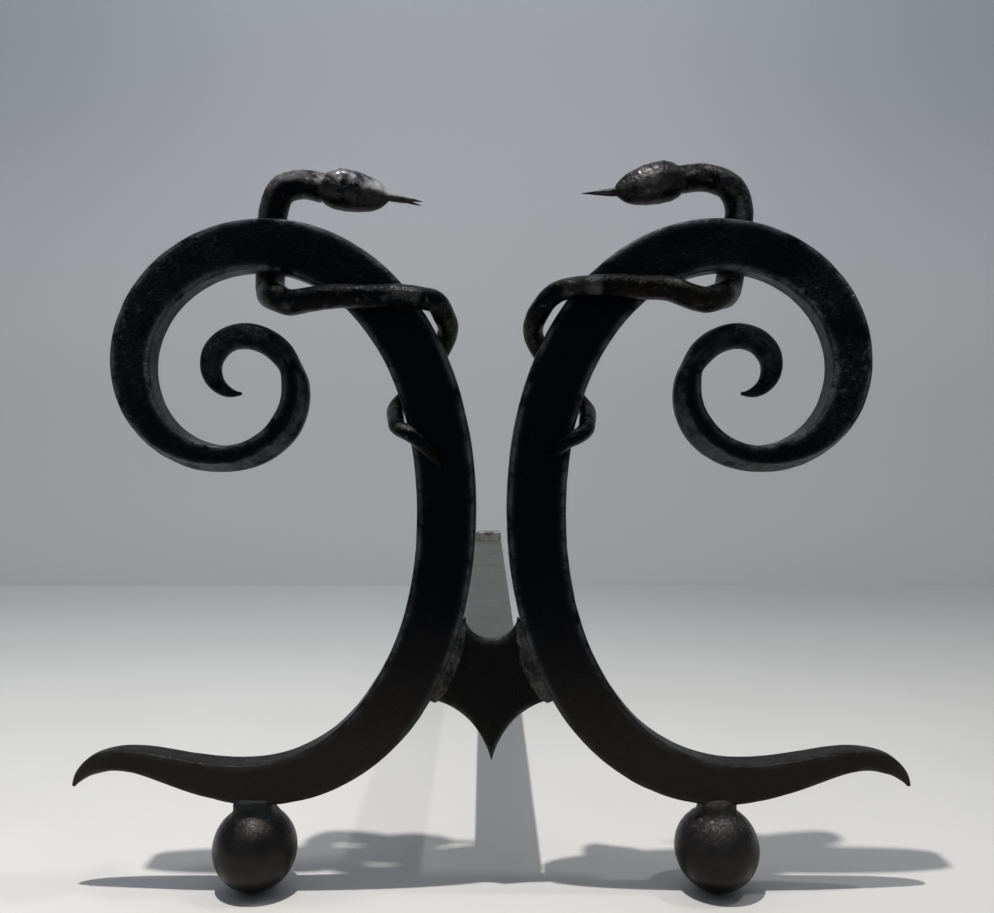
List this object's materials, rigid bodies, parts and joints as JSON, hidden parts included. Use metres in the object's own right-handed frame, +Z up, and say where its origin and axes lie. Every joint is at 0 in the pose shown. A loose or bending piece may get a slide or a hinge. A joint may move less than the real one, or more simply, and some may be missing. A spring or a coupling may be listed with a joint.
{
  "type": "andiron",
  "caption": "Forged iron andiron: back-to-back scrolls on ball feet, a serpent wound over each scroll, and a log bar running back to a rear leg.",
  "frame": {"origin": "on the floor, under the middle of the whole piece's box", "axes": "+Z up; -Y faces the room and +Y runs back along the log bar; +X to the right seen from the room"},
  "size_m": [0.4148, 0.646, 0.3635],
  "materials": {
    "bar_iron": "hammered flat bar, blued black, worn satin on the arrises",
    "serpent_iron": "hammered round bar, black with a burnished satin sheen",
    "ball_iron": "rolled solid ball, satin black with small dents",
    "weld_iron": "rough weld bead and collar, dull black scale"
  },
  "bodies": {
    "root": {"left_scroll": "bar_iron", "right_scroll": "bar_iron", "left_weld_front": "weld_iron", "left_weld_back": "weld_iron", "right_weld_front": "weld_iron", "right_weld_back": "weld_iron", "left_serpent": "serpent_iron", "right_serpent": "serpent_iron", "left_tongue": "serpent_iron", "right_tongue": "serpent_iron", "web_plate": "bar_iron", "left_collar": "weld_iron", "right_collar": "weld_iron", "left_ball": "ball_iron", "right_ball": "ball_iron", "log_bar": "bar_iron", "rear_leg": "bar_iron", "log_bar_weld_upper": "weld_iron", "log_bar_weld_lower": "weld_iron", "rear_leg_weld": "weld_iron"}
  },
  "joints": []
}
